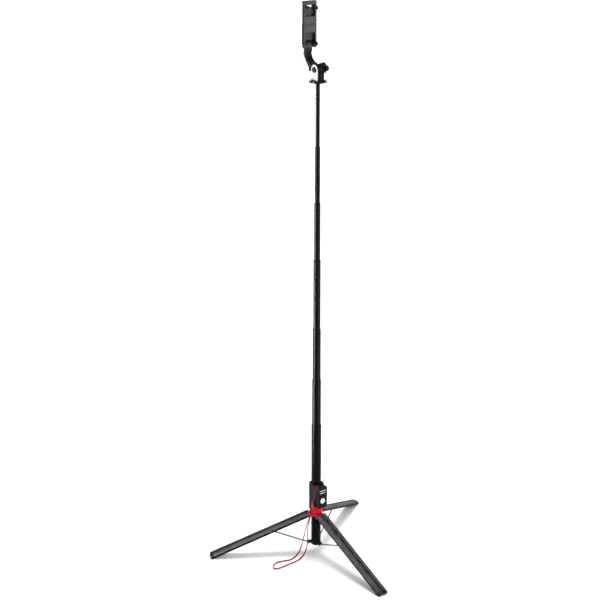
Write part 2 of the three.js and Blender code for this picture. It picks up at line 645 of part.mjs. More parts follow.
// Hinge height of a jaw. end is 1 for the upper jaw and -1 for the lower one.
function jawHingeZ(end) {
  return end > 0 ? CLAMP_TOP - JAW_HINGE_INSET : CLAMP_BOTTOM + JAW_HINGE_INSET;
}

// The D-shaped pocket that a jaw folds into, with a window through the back at the hinge.
function jawPocket(end) {
  const hinge = jawHingeZ(end);
  const outer = JAW_OUTER + GAP;
  const reach = JAW_REACH - JAW_OUTER;
  const away = (distance) => hinge - end * distance;
  const pocketDepth = [CLAMP_FRONT - 1, POCKET_BACK];
  const ordered = (a, b) => [Math.min(a, b), Math.max(a, b)];
  const bed = box([-outer, outer], pocketDepth, ordered(away(-2.9), away(reach)));
  const round = rodY(outer, ...pocketDepth, 0, away(reach), 40);
  const window = box([-5.2, 5.2], [0, 50], ordered(away(-2.6), away(2.8)));
  const bearings = rodX(1.7, -11.4, 11.4, JAW_HINGE_Y, hinge, 12);
  return [bed, round, window, bearings];
}

// A jaw folded out: a flat U standing off the clamp's face, with a stub axle at each side of its root.
function jaw(name, end) {
  const hinge = jawHingeZ(end);
  const bend = JAW_HINGE_Y - (JAW_REACH - JAW_OUTER);
  const shape = new THREE.Shape();
  shape.moveTo(-JAW_OUTER, JAW_HINGE_Y);
  shape.lineTo(-JAW_OUTER, bend);
  shape.absarc(0, bend, JAW_OUTER, Math.PI, Math.PI * 2, false);
  shape.lineTo(JAW_OUTER, JAW_HINGE_Y);
  shape.lineTo(JAW_INNER, JAW_HINGE_Y);
  shape.lineTo(JAW_INNER, bend);
  shape.absarc(0, bend, JAW_INNER, 0, -Math.PI, true);
  shape.lineTo(-JAW_INNER, JAW_HINGE_Y);
  const loop = alongZ(shape, hinge - JAW_HALF_HEIGHT, hinge + JAW_HALF_HEIGHT);
  const roots = [];
  for (const side of [-1, 1]) {
    const [near, far, tip] = [side * JAW_INNER, side * JAW_OUTER, side * 11.1];
    roots.push(rodX(JAW_HALF_HEIGHT, Math.min(near, far), Math.max(near, far), JAW_HINGE_Y, hinge, 20));
    roots.push(rodX(1.4, Math.min(near, tip), Math.max(near, tip), JAW_HINGE_Y, hinge, 12));
  }
  return part(name, carve(loop, roots, []), darkPlastic);
}

const TONGUE_BOTTOM = CLAMP_BOTTOM + 1.2;
const TONGUE_HALF_WIDTH = 8.5;
const SPRING_Y = 28.3;
const SPRING_BOTTOM = TONGUE_BOTTOM + 2.4;
const SPRING_POST_Z = 1043;

// The fixed lower half, with lips behind it that the sliding tongue runs in.
function clampBase() {
  const top = CLAMP_SPLIT - GAP / 2;
  const plate = box([-CLAMP_HALF_WIDTH, CLAMP_HALF_WIDTH], [CLAMP_FRONT, CLAMP_BACK], [CLAMP_BOTTOM, top]);
  const joins = [box([-1.2, 1.2], [CLAMP_BACK - 0.5, 29], [SPRING_POST_Z, SPRING_POST_Z + 2])];
  const run = TONGUE_HALF_WIDTH + GAP;
  for (const side of [-1, 1]) {
    const wall = [side * run, side * (run + 1.6)].sort((a, b) => a - b);
    const lip = [side * (run - 1.8), side * (run + 1.6)].sort((a, b) => a - b);
    joins.push(box(wall, [CLAMP_BACK - 0.5, TONGUE_BACK + GAP + 0.9], [CLAMP_BOTTOM + 4, top]));
    joins.push(box(lip, [TONGUE_BACK + GAP, TONGUE_BACK + GAP + 0.9], [CLAMP_BOTTOM + 4, top]));
  }
  return part('clamp_base', carve(plate, joins, jawPocket(-1)), facePlastic);
}

// The upper half, on a hollow tongue that runs down behind the lower half and holds the spring.
function clampSlide() {
  const bottom = CLAMP_SPLIT + GAP / 2;
  const plate = box([-CLAMP_HALF_WIDTH, CLAMP_HALF_WIDTH], [CLAMP_FRONT, CLAMP_BACK], [bottom, CLAMP_TOP]);
  const width = [-TONGUE_HALF_WIDTH, TONGUE_HALF_WIDTH];
  const joins = [
    box(width, [TONGUE_FRONT, TONGUE_BACK], [TONGUE_BOTTOM, CLAMP_TOP - 18]),
    box(width, [CLAMP_BACK - 0.5, TONGUE_FRONT + 0.5], [bottom, CLAMP_TOP - 18]),
  ];
  const hollow = box([-2.2, 2.2], [TONGUE_FRONT - 1, 29.9], [SPRING_BOTTOM - GAP, SPRING_POST_Z + 2.4]);
  return part('clamp_slide', carve(plate, joins, [...jawPocket(1), hollow]), facePlastic);
}

// The spring that pulls the jaws together: a plain coil between the tongue's foot and the base's post.
function clampSpring() {
  class Coil extends THREE.Curve {
    getPoint(t) {
      const angle = t * Math.PI * 2 * 7;
      const height = SPRING_BOTTOM + 0.3 + t * (SPRING_POST_Z - SPRING_BOTTOM - 0.9);
      return new THREE.Vector3(1.05 * Math.cos(angle), SPRING_Y + 1.05 * Math.sin(angle), height);
    }
  }
  const wire = new THREE.Shape().absarc(0, 0, 0.24, 0, Math.PI * 2);
  const options = { steps: 63, curveSegments: 3, extrudePath: new Coil() };
  return part('clamp_spring', closed(new THREE.ExtrudeGeometry(wire, options)), steel);
}

// ---- Lanyard ------------------------------------------------------------------------------

function cord(route, diameter, steps) {
  const curve = new THREE.CatmullRomCurve3(route.map((point) => new THREE.Vector3(...point)));
  const section = polygon(Array.from({ length: 8 }, (_, i) => [
    (diameter / 2) * Math.cos((i / 8) * Math.PI * 2),
    (diameter / 2) * Math.sin((i / 8) * Math.PI * 2),
  ]));
  return closed(new THREE.ExtrudeGeometry(section, { steps, extrudePath: curve }));
}

function lanyard() {
  const group = new THREE.Group();
  const [x, y] = CRIMP_CENTRE;
  const crimp = alongZ(roundedRectangle(x - 1.3, x + 1.3, y - 3.4, y + 3.4, 1.1), CRIMP_BOTTOM, CRIMP_TOP);
  group.add(part('strap_string', cord(STRING_ROUTE, STRING_DIAMETER, 20), strapRed));
  group.add(part('strap_crimp', closed(crimp), strapRed));
  group.add(part('strap_ribbon', cord(RIBBON_ROUTE, RIBBON_WIDTH, 56), strapRed));
  return group;
}

// ---- Assembly -----------------------------------------------------------------------------

const stick = new THREE.Group();
const feet = LEG_AZIMUTHS.map((_, i) => leg(i + 1));
stick.add(outerTube(), strutAnchor(), hub(), housing(), remote(), ...feet);
for (let i = 1; i < TUBE_TOPS.length; i += 1) stick.add(innerTube(i));
stick.add(swivelPlate(), knuckle(), tiltKnob(), arm());
stick.add(lanyard());

// The clamp is turned a little about its stem.
const clamp = new THREE.Group();
clamp.add(neckCollar(), clampBase(), clampSlide(), clampSpring(), jaw('upper_jaw', 1), jaw('lower_jaw', -1));
clamp.rotation.z = CLAMP_TURN;
clamp.position.set(NECK_Y * Math.sin(CLAMP_TURN), NECK_Y * (1 - Math.cos(CLAMP_TURN)), 0);
stick.add(clamp);

// The pole axis is moved back so that the box round the feet is centred on the origin.
const reach = new THREE.Box3();
stick.updateMatrixWorld(true);
feet.forEach((foot) => reach.expandByObject(foot, true));
stick.position.y = -(reach.min.y + reach.max.y) / 2;

export default stick;
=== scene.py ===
import json
import math

import bmesh
import bpy
from mathutils import Matrix, Vector


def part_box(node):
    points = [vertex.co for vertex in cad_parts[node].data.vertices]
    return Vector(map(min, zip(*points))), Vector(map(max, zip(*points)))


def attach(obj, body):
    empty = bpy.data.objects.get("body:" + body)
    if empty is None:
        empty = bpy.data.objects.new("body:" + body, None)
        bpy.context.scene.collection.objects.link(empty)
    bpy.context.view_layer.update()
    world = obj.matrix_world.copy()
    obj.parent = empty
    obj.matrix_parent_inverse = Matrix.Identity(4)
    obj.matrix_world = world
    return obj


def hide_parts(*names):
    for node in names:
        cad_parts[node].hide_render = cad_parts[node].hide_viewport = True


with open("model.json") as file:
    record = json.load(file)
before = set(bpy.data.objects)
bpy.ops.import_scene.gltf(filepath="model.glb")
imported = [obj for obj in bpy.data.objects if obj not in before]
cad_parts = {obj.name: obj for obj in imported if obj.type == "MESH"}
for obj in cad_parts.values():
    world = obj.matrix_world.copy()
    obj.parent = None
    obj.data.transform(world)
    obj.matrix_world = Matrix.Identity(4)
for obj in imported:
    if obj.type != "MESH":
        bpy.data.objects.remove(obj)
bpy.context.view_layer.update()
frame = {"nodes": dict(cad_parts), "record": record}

# Sizes in this script are millimetres with the pole's axis at x = y = 0, as in the CAD part.
# place() turns them into metres in the row frame, where the pole stands behind the origin.
MM = 0.001
_low, _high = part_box("outer_tube")
POLE_Y = (_low.y + _high.y) / 2
TO_ROW = Matrix.Translation((0, POLE_Y, 0)) @ Matrix.Scale(MM, 4)


def place(x, y, z):
    return Vector((x * MM, y * MM + POLE_Y, z * MM))


# ---- Camera, floor and lights --------------------------------------------------------------

CAMERA_BEARING = math.radians(-127.67)
SKY_BRIGHTEST = 125
SKY_FRONT, SKY_BACK = 0.1, 1.3
FLOOR_DROP = 0.0004
STRIP_HEIGHT = 0.62


def add_camera():
    distance, height = 2.78, 1.64
    aim_left, pitch = math.radians(0.65), math.radians(21.715)
    data = bpy.data.cameras.new("camera")
    data.sensor_width = 36
    data.lens = 96.2
    data.clip_end = 90
    camera = bpy.data.objects.new("camera", data)
    camera.location = (
        distance * math.cos(CAMERA_BEARING), POLE_Y + distance * math.sin(CAMERA_BEARING), height,
    )
    heading = CAMERA_BEARING + math.pi + aim_left
    level = math.cos(pitch)
    forward = Vector((math.cos(heading) * level, math.sin(heading) * level, -math.sin(pitch)))
    camera.rotation_euler = forward.to_track_quat("-Z", "Y").to_euler()
    bpy.context.scene.collection.objects.link(camera)
    bpy.context.scene.camera = camera


def add_lamp(name, kind, location, target, energy, highlights_only=False, **values):
    """A lamp aimed from location at target. One for highlights only leaves matt surfaces as they are."""
    data = bpy.data.lights.new(name, kind)
    data.energy = energy
    for key, value in values.items():
        setattr(data, key, value)
    lamp = bpy.data.objects.new(name, data)
    lamp.location = location
    lamp.rotation_euler = (Vector(target) - Vector(location)).to_track_quat("-Z", "Y").to_euler()
    lamp.visible_camera = False
    lamp.visible_diffuse = not highlights_only
    bpy.context.scene.collection.objects.link(lamp)


def around(bearing_from_camera, distance, height):
    """A place round the pole, its bearing in degrees from the camera's, positive to the camera's right."""
    angle = CAMERA_BEARING + math.radians(bearing_from_camera)
    return (distance * math.cos(angle), POLE_Y + distance * math.sin(angle), height)


def add_sky():
    """White for the camera. On the object it is strongest from SKY_BRIGHTEST degrees off the camera."""
    world = bpy.data.worlds.new("studio")
    world.use_nodes = True
    tree = world.node_tree
    coord = add(tree, "TexCoord")
    away = add(tree, "VectorMath", operation="DOT_PRODUCT")
    bright = CAMERA_BEARING + math.radians(SKY_BRIGHTEST)
    away.inputs[1].default_value = (math.cos(bright), math.sin(bright), 0.2)
    tree.links.new(coord.outputs["Generated"], away.inputs[0])
    strength = remap(tree, away.outputs["Value"], SKY_FRONT, SKY_BACK, -0.9, 0.9)
    path = add(tree, "LightPath")
    seen = add(tree, "Mix", data_type="FLOAT")
    tree.links.new(path.outputs["Is Camera Ray"], seen.inputs[0])
    tree.links.new(strength, seen.inputs[2])
    seen.inputs[3].default_value = 1.02
    background = tree.nodes["Background"]
    background.inputs["Color"].default_value = (1, 1, 1, 1)
    tree.links.new(seen.outputs[0], background.inputs["Strength"])
    bpy.context.scene.world = world


def add_stage():
    scene = bpy.context.scene
    scene.view_settings.view_transform = "Standard"
    scene.view_settings.look = "None"
    add_sky()
    bm = bmesh.new()
    bmesh.ops.create_grid(bm, x_segments=2, y_segments=2, size=36)
    mesh = bpy.data.meshes.new("floor")
    bm.to_mesh(mesh)
    bm.free()
    floor = bpy.data.objects.new("floor", mesh)
    floor.location = (0, 0, -FLOOR_DROP)
    scene.collection.objects.link(floor)
    mesh.materials.append(FINISHES["floor"])

    add_lamp("overhead", "SUN", (0.2, 0.3, 3), (0, 0, 0), 2.1, angle=0.32)
    strip = {"shape": "RECTANGLE", "size": 0.05, "size_y": 1.2}
    pole = (0, POLE_Y, STRIP_HEIGHT)
    add_lamp("strip_left", "AREA", around(-74, 0.46, STRIP_HEIGHT), pole, 42, True, **strip)
    add_lamp("strip_right", "AREA", around(60, 0.5, STRIP_HEIGHT), pole, 6, True, **strip)
    soft = {"shape": "RECTANGLE", "size": 1.0, "size_y": 1.0}
    add_lamp("key", "AREA", around(58, 2.4, 1.9), (0, POLE_Y, 0.8), 22, **soft)


# ---- Materials -----------------------------------------------------------------------------

def scaled(color, factor):
    return tuple(min(1, c * factor) for c in color)


def shader(name, roughness, metallic=0.0, **sockets):
    made = bpy.data.materials.new(name)
    made.use_nodes = True
    bsdf = made.node_tree.nodes["Principled BSDF"]
    bsdf.inputs["Roughness"].default_value = roughness
    bsdf.inputs["Metallic"].default_value = metallic
    for socket, value in sockets.items():
        bsdf.inputs[socket.replace("_", " ")].default_value = value
    return made, made.node_tree, bsdf


def add(tree, kind, **values):
    node = tree.nodes.new("ShaderNode" + kind)
    for key, value in values.items():
        if key in node.inputs:
            node.inputs[key].default_value = value
        else:
            setattr(node, key, value)
    return node


def coordinates(tree, stretch=(1, 1, 1), source="Object"):
    coord = add(tree, "TexCoord")
    mapping = add(tree, "Mapping")
    mapping.inputs["Scale"].default_value = stretch
    tree.links.new(coord.outputs[source], mapping.inputs["Vector"])
    return mapping.outputs["Vector"]


def noise(tree, vector, scale, detail=4.0, rough=0.5):
    node = add(tree, "TexNoise")
    node.inputs["Scale"].default_value = scale
    node.inputs["Detail"].default_value = detail
    node.inputs["Roughness"].default_value = rough
    tree.links.new(vector, node.inputs["Vector"])
    return node.outputs["Fac"]


def ramp(tree, source, stops):
    node = add(tree, "ValToRGB")
    elements = node.color_ramp.elements
    while len(elements) < len(stops):
        elements.new(0.5)
    for element, (at, color) in zip(elements, stops):
        element.position = at
        element.color = (*color, 1) if len(color) == 3 else color
    tree.links.new(source, node.inputs["Fac"])
    return node.outputs["Color"]


def remap(tree, source, low, high, from_low=0.3, from_high=0.7):
    node = add(tree, "MapRange")
    node.inputs["From Min"].default_value = from_low
    node.inputs["From Max"].default_value = from_high
    node.inputs["To Min"].default_value = low
    node.inputs["To Max"].default_value = high
    tree.links.new(source, node.inputs["Value"])
    return node.outputs["Result"]


def mix(tree, factor, first, second):
    node = add(tree, "Mix", data_type="RGBA")
    for socket, value in ((node.inputs[0], factor), (node.inputs[6], first), (node.inputs[7], second)):
        if isinstance(value, bpy.types.NodeSocket):
            tree.links.new(value, socket)
        else:
            socket.default_value = value if isinstance(value, float) else (*value, 1)
    return node.outputs[2]


def bump(tree, bsdf, heights):
    """Adds bumps one on another. heights holds (socket, strength, distance)."""
    normal = None
    for height, strength, distance in heights:
        node = add(tree, "Bump")
        node.inputs["Strength"].default_value = strength
        node.inputs["Distance"].default_value = distance
        tree.links.new(height, node.inputs["Height"])
        if normal:
            tree.links.new(normal, node.inputs["Normal"])
        normal = node.outputs["Normal"]
    tree.links.new(normal, bsdf.inputs["Normal"])


def rubbed_edges_and_painted_highlight(tree, color, edge_wear_and_painted_highlight, amount=0.5):
    """color with its sharpest outer edges lighter: partly rubbed wear, partly a painted highlight along the
    edges.
    """
    geometry = add(tree, "NewGeometry")
    edge = remap(tree, geometry.outputs["Pointiness"], 0.0, amount, 0.57, 0.7)
    return mix(tree, edge, color, edge_wear_and_painted_highlight)


def moulded(name, color, roughness, grain=5200, depth=0.00003, variation=0.16, edge_wear_and_painted_highlight=None, **sockets):
    """Moulded plastic: fine spark-eroded grain, slow colour drift, and sharp edges lighter as rubbed wear
    and a painted edge highlight.
    """
    made, tree, bsdf = shader(name, roughness, **sockets)
    vector = coordinates(tree)
    drift = noise(tree, vector, 38, 3)
    fine = noise(tree, vector, grain, 2, 0.7)
    dark = tuple(c * (1 - variation) for c in color)
    light = tuple(min(1, c * (1 + variation) + 0.002) for c in color)
    tone = ramp(tree, drift, [(0.3, dark), (0.7, light)])
    speckle = ramp(tree, fine, [(0.3, (0.86, 0.86, 0.86)), (0.7, (1, 1, 1))])
    product = add(tree, "Mix", data_type="RGBA", blend_type="MULTIPLY")
    product.inputs[0].default_value = 1
    tree.links.new(tone, product.inputs[6])
    tree.links.new(speckle, product.inputs[7])
    # Sharp edges lighter: rubbed wear and a painted edge highlight.
    base = rubbed_edges_and_painted_highlight(tree, product.outputs[2], edge_wear_and_painted_highlight or tuple(min(1, c * 1.5 + 0.012) for c in color), 0.6)
    tree.links.new(base, bsdf.inputs["Base Color"])
    smear = noise(tree, vector, 90, 4)
    tree.links.new(remap(tree, smear, roughness - 0.06, roughness + 0.07), bsdf.inputs["Roughness"])
    bump(tree, bsdf, [(fine, 0.35, depth), (drift, 0.1, 0.0001)])
    return made


def enamelled(name, color, roughness):
    """Glossy black enamel over a drawn tube: faint lengthwise drawing lines and handling marks."""
    made, tree, bsdf = shader(name, roughness, 0.0, Specular_IOR_Level=0.05)
    along = coordinates(tree, (1, 1, 0.02))
    lines = noise(tree, along, 2600, 3, 0.6)
    vector = coordinates(tree)
    smudge = noise(tree, vector, 55, 5, 0.6)
    tone = ramp(tree, lines, [(0.25, scaled(color, 0.75)), (0.75, scaled(color, 1.35))])
    # The tube's sharp edges, the lip at its mouth among them, are painted lighter: rubbed wear and a
    # painted ring highlight.
    base = rubbed_edges_and_painted_highlight(tree, tone, (0.03, 0.03, 0.032), 0.5)
    tree.links.new(base, bsdf.inputs["Base Color"])
    tree.links.new(remap(tree, smudge, roughness - 0.07, roughness + 0.12), bsdf.inputs["Roughness"])
    scratches = noise(tree, coordinates(tree, (1, 1, 0.06)), 900, 6, 0.75)
    bump(tree, bsdf, [(lines, 0.12, 0.00002), (scratches, 0.06, 0.00003)])
    return made


def brushed(name, color, roughness, stretch=(0.02, 1, 1)):
    """Brushed metal, its lines running along the axis that stretch shortens."""
    made, tree, bsdf = shader(name, roughness, 1.0)
    lines = noise(tree, coordinates(tree, stretch), 5200, 3, 0.65)
    haze = noise(tree, coordinates(tree), 120, 4)
    tone = ramp(tree, lines, [(0.2, scaled(color, 0.8)), (0.8, scaled(color, 1.12))])
    # Sharp edges painted lighter: rubbed wear and a painted edge highlight.
    base = rubbed_edges_and_painted_highlight(tree, tone, scaled(color, 1.7), 0.5)
    tree.links.new(base, bsdf.inputs["Base Color"])
    tree.links.new(remap(tree, haze, roughness - 0.05, roughness + 0.12), bsdf.inputs["Roughness"])
    bump(tree, bsdf, [(lines, 0.2, 0.00002)])
    return made


def woven(name, color):
    """Narrow woven tape: twill ribs across, warp threads along, and fuzz. It reads a UV map."""
    made, tree, bsdf = shader(name, 0.85, Specular_IOR_Level=0.1)
    uv = coordinates(tree, source="UV")
    ribs = add(tree, "TexWave", wave_type="BANDS", bands_direction="DIAGONAL")
    ribs.inputs["Scale"].default_value = 1.0
    ribs.inputs["Distortion"].default_value = 0.6
    tree.links.new(uv, ribs.inputs["Vector"])
    warp = add(tree, "TexWave", wave_type="BANDS", bands_direction="Y")
    warp.inputs["Scale"].default_value = 1.6
    warp.inputs["Distortion"].default_value = 0.3
    tree.links.new(uv, warp.inputs["Vector"])
    fuzz = noise(tree, coordinates(tree), 2600, 4, 0.7)
    shade = mix(tree, ribs.outputs["Fac"], scaled(color, 0.45), color)
    shade = mix(tree, remap(tree, fuzz, 0.0, 0.5), shade, scaled(color, 1.3))
    tree.links.new(shade, bsdf.inputs["Base Color"])
    bump(tree, bsdf, [
        (ribs.outputs["Fac"], 0.5, 0.00012),
        (warp.outputs["Fac"], 0.35, 0.00008),
        (fuzz, 0.3, 0.00004),
    ])
    return made


def painted_floor():
    made, tree, bsdf = shader("studio_floor", 0.75, Specular_IOR_Level=0.0)
    drift = noise(tree, coordinates(tree), 3, 3)
    tone = ramp(tree, drift, [(0.3, (0.9, 0.9, 0.9)), (0.7, (0.93, 0.93, 0.93))])
    tree.links.new(tone, bsdf.inputs["Base Color"])
    return made


# The edge colours given below paint the sharp edges lighter: rubbed wear and a painted edge highlight.
FINISHES = {
    "floor": painted_floor(),
    "tube_black": enamelled("gloss_black_tube", (0.002, 0.002, 0.0024), 0.22),
    "shell_black": moulded("satin_black_shell", (0.003, 0.003, 0.0034), 0.36, Specular_IOR_Level=0.07),
    "leg_grey": moulded("soft_grey_grip", (0.024, 0.025, 0.026), 0.48, grain=700, depth=0.0005,
                        variation=0.9, Specular_IOR_Level=0.14),
    # This dark finish also paints the clamp's sides dark as painted shade.
    "dark_plastic": moulded("matt_black_plastic_and_painted_shade", (0.004, 0.004, 0.0045), 0.5, Specular_IOR_Level=0.05),
    "face_plastic": moulded("grained_grey_plastic", (0.078, 0.079, 0.083), 0.6, grain=3000, depth=0.00006,
                            Specular_IOR_Level=0.1),
    "hub_red": moulded("bright_red_plastic", (0.72, 0.001, 0.014), 0.34, variation=0.06,
                       edge_wear_and_painted_highlight=(0.8, 0.05, 0.08), Specular_IOR_Level=0.12),
    "silver": brushed("satin_silver", (0.11, 0.112, 0.115), 0.42, (1, 0.02, 1)),
    "steel": brushed("bright_steel", (0.1, 0.1, 0.105), 0.34),
    "white": moulded("white_button_plastic", (0.86, 0.86, 0.85), 0.35, variation=0.03,
                     edge_wear_and_painted_highlight=(0.92, 0.92, 0.92)),
    "nylon": moulded("natural_nylon", (0.72, 0.69, 0.6), 0.5, variation=0.05, edge_wear_and_painted_highlight=(0.85, 0.82, 0.75)),
    "board_green": moulded("circuit_board", (0.02, 0.14, 0.05), 0.4, variation=0.2),
    "strap_red": woven("red_webbing", (0.27, 0.001, 0.022)),
    "crimp_red": moulded("red_clip_plastic", (0.5, 0.002, 0.02), 0.42, variation=0.06,
                         edge_wear_and_painted_highlight=(0.6, 0.05, 0.07), Specular_IOR_Level=0.15),
    "string_red": moulded("red_cord", (0.36, 0.004, 0.035), 0.7, grain=2600, depth=0.0001,
                          variation=0.3, Specular_IOR_Level=0.1),
    "print_grey": moulded("printed_grey", (0.5, 0.5, 0.5), 0.5, variation=0.04),
}


# ---- Shape tools ---------------------------------------------------------------------------

def publish(name, bm, body, slot, replaced=(), sharp=34, finish=None, world=TO_ROW):
    """Turns bm into a smooth-shaded piece on a body, which takes its finish from a material slot."""
    bm.transform(world)
    bmesh.ops.recalc_face_normals(bm, faces=bm.faces)
    mesh = bpy.data.meshes.new(name)
    bm.to_mesh(mesh)
    bm.free()
    mesh.shade_smooth()
    mesh.set_sharp_from_angle(angle=math.radians(sharp))
    piece = bpy.data.objects.new(name, mesh)
    bpy.context.scene.collection.objects.link(piece)
    weighted = piece.modifiers.new("weighted_normals", "WEIGHTED_NORMAL")
    weighted.keep_sharp = True
    mesh.materials.append(finish or FINISHES[slot])
    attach(piece, body)
    if replaced:
        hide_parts(*replaced)
    return piece


def break_edges(bm, width, angle=30, segments=2):
    """Rounds every edge sharper than angle. width is in the mesh's own unit."""
    edges = [e for e in bm.edges if e.is_manifold and e.calc_face_angle(0) > math.radians(angle)]
    if edges:
        bmesh.ops.bevel(bm, geom=edges, offset=width, offset_type="OFFSET", segments=segments, profile=0.5,
                        affect="EDGES", clamp_overlap=True)


def lathe(profile, segments=64):
    """A solid of revolution about Z. profile holds (radius, height); radius 0 closes it on the axis."""
    bm = bmesh.new()
    rings = []
    for radius, height in profile:
        if radius < 1e-6:
            rings.append([bm.verts.new((0, 0, height))])
            continue
        rings.append([
            bm.verts.new((radius * math.cos(a), radius * math.sin(a), height))
            for a in (2 * math.pi * i / segments for i in range(segments))
        ])
    loop_closed = rings[0][0].co == rings[-1][0].co
    if loop_closed:
        for vert in rings[-1]:
            bm.verts.remove(vert)
        rings[-1] = rings[0]
    for low, high in zip(rings, rings[1:]):
        for i in range(segments):
            j = (i + 1) % segments
            corners = [low[i % len(low)], low[j % len(low)], high[j % len(high)], high[i % len(high)]]
            unique = list(dict.fromkeys(corners))
            if len(unique) > 2:
                bm.faces.new(unique)
    return bm


def refine(node, width=0.25, segments=2):
    """A cleaned copy of a CAD node with its flat faces joined and its edges rounded."""
    bm = bmesh.new()
    bm.from_mesh(frame["nodes"][node].data)
    bmesh.ops.remove_doubles(bm, verts=bm.verts, dist=1e-6)
    bmesh.ops.dissolve_limit(bm, angle_limit=math.radians(0.6), verts=bm.verts, edges=bm.edges)
    break_edges(bm, width * MM, 34, segments)
    # Faces picked by DARK_FACES get the dark finish; on the clamp this is painted shade on its sides.
    dark = [DARK_FACES[node](face) for face in bm.faces] if node in DARK_FACES else []
    piece = publish(node + "_look", bm, BODY_OF[node], SLOT_OF[node], [node], world=Matrix.Identity(4))
    if dark:
        piece.data.materials.append(FINISHES["dark_plastic"])
        piece.data.polygons.foreach_set("material_index", [int(d) for d in dark])


BODY_OF = {n: body for body, nodes in frame["record"]["behaviour"]["bodies"].items() for n in nodes}
SLOT_OF = {s["node"]: s["material_slot"] for s in frame["record"]["subparts"]}


def extent(node):
    """Lowest and highest corner of a CAD node in this script's millimetres."""
    low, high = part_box(node)
    shift = Vector((0, POLE_Y, 0))
    return (low - shift) / MM, (high - shift) / MM


def bar(bm, x, y, z, matrix=Matrix.Identity(4), radius=0.0, segments=2):
    """A block over three ranges, its edges rounded, added to bm."""
    made = bmesh.ops.create_cube(bm, size=1)["verts"]
    size = Matrix.Diagonal((x[1] - x[0], y[1] - y[0], z[1] - z[0], 1))
    middle = Matrix.Translation([(r[0] + r[1]) / 2 for r in (x, y, z)])
    bmesh.ops.transform(bm, matrix=middle @ size, verts=made)
    if radius:
        edges = list(dict.fromkeys(e for v in made for e in v.link_edges))
        rounded = bmesh.ops.bevel(bm, geom=edges, offset=radius, segments=segments, profile=0.5,
                                  affect="EDGES")
        kept = [v for v in made if v.is_valid]
        made = list(dict.fromkeys([*kept, *(v for f in rounded["faces"] for v in f.verts)]))
    bmesh.ops.transform(bm, matrix=matrix, verts=made)


def stadium(bm, half_length, half_width, low, high, matrix, turns=8, chamfer=0.0):
    """A round-ended plate in the plane of matrix's x and y, from low to high along its z."""
    rings = []
    for inset, height in ((0, low), (0, high - chamfer), (chamfer, high)):
        ring = []
        for end in (1, -1):
            for i in range(turns + 1):
                angle = math.pi * (i / turns - 0.5) + (0 if end > 0 else math.pi)
                radius = half_width - inset
                x = end * (half_length - half_width) + radius * math.cos(angle)
                ring.append(bm.verts.new(matrix @ Vector((x, radius * math.sin(angle), height))))
        rings.append(ring)
    for below, above in zip(rings, rings[1:]):
        for i in range(len(below)):
            j = (i + 1) % len(below)
            bm.faces.new((below[i], below[j], above[j], above[i]))
    bm.faces.new(rings[-1])
    bm.faces.new(reversed(rings[0]))


# ---- Lanyard -------------------------------------------------------------------------------

STRING_DIAMETER = 1.4
RIBBON_WIDTH = 3.0
RIBBON_THICKNESS = 0.8
STRING_ROUTE = [
    (-8, -17.6, 149.9), (-8.1, -17.6, 151.3), (-9.5, -17.1, 152.6), (-11.6, -16.1, 152),
    (-12.9, -14.9, 149.2), (-13.7, -14.1, 143), (-14.1, -13.5, 133), (-14.6, -12, 123.5),
    (-14.8, -9.5, 116.5), (-14.8, -8.3, 113.2),
]
RIBBON_ROUTE = [
    (-15, -6.2, 99.2), (-15.6, -6.4, 96), (-18.4, -7.2, 91.5), (-22.8, -8.6, 85), (-28.4, -9.9, 75.4),
    (-33.2, -10.5, 65), (-40, -11.4, 45), (-46.4, -12.2, 27.5), (-54, -10.6, 13.5), (-66, -6, 4.6),
    (-80, 2.4, 1.9), (-93, 5, 1.7), (-104.4, 0, 1.7), (-109.2, -8.2, 1.7), (-105, -14, 1.7),
    (-93.3, -14.6, 1.7), (-81.6, -14.4, 1.9), (-70, -16.6, 3.4), (-59.4, -20.6, 7.5), (-49.8, -23.6, 15.5),
    (-43, -24.4, 27.5), (-39, -22.8, 40), (-36.3, -19.6, 56), (-33, -16.6, 68), (-27.6, -13.9, 80.5),
    (-21.6, -11.8, 90.5), (-16.6, -10.2, 96), (-15, -9.8, 99.2),
]


def smooth_route(points, steps):
    """Points on a smooth curve through the given ones, in the row frame."""
    points = [place(*p) for p in points]
    ends = [2 * points[0] - points[1], *points, 2 * points[-1] - points[-2]]
    route = []
    for a, b, c, d in zip(ends, ends[1:], ends[2:], ends[3:]):
        for i in range(steps):
            t = i / steps
            square, cube = (2 * a - 5 * b + 4 * c - d), (3 * b - a - 3 * c + d)
            route.append(0.5 * (2 * b + (c - a) * t + square * t ** 2 + cube * t ** 3))
    return [*route, points[-1]]


def crimp():
    """The moulded clip between string and ribbon: ribbed sides and a rolled edge."""
    bm = bmesh.new()
    low, high = extent("strap_crimp")
    bar(bm, (low.x, high.x), (low.y, high.y), (low.z, high.z), radius=0.7, segments=3)
    for i in range(4):
        z = low.z + 2.4 + 2.5 * i
        bar(bm, (low.x - 0.12, high.x + 0.12), (low.y + 0.7, high.y - 0.7), (z, z + 1.1), radius=0.2)
    return publish("crimp_clip", bm, "remote", "strap_red", ["strap_crimp"], finish=FINISHES["crimp_red"])


def string(clip):
    data = bpy.data.curves.new("strap_cord", "CURVE")
    data.dimensions = "3D"
    data.bevel_depth = STRING_DIAMETER * MM / 2
    data.bevel_resolution = 3
    data.use_fill_caps = True
    route = smooth_route(STRING_ROUTE, 6)
    spline = data.splines.new("POLY")
    spline.points.add(len(route) - 1)
    for point, co in zip(spline.points, route):
        point.co = (*co, 1)
    data.materials.append(FINISHES["string_red"])
    cord = bpy.data.objects.new("strap_cord", data)
    bpy.context.scene.collection.objects.link(cord)
    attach(cord, "remote")
    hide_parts("strap_string")


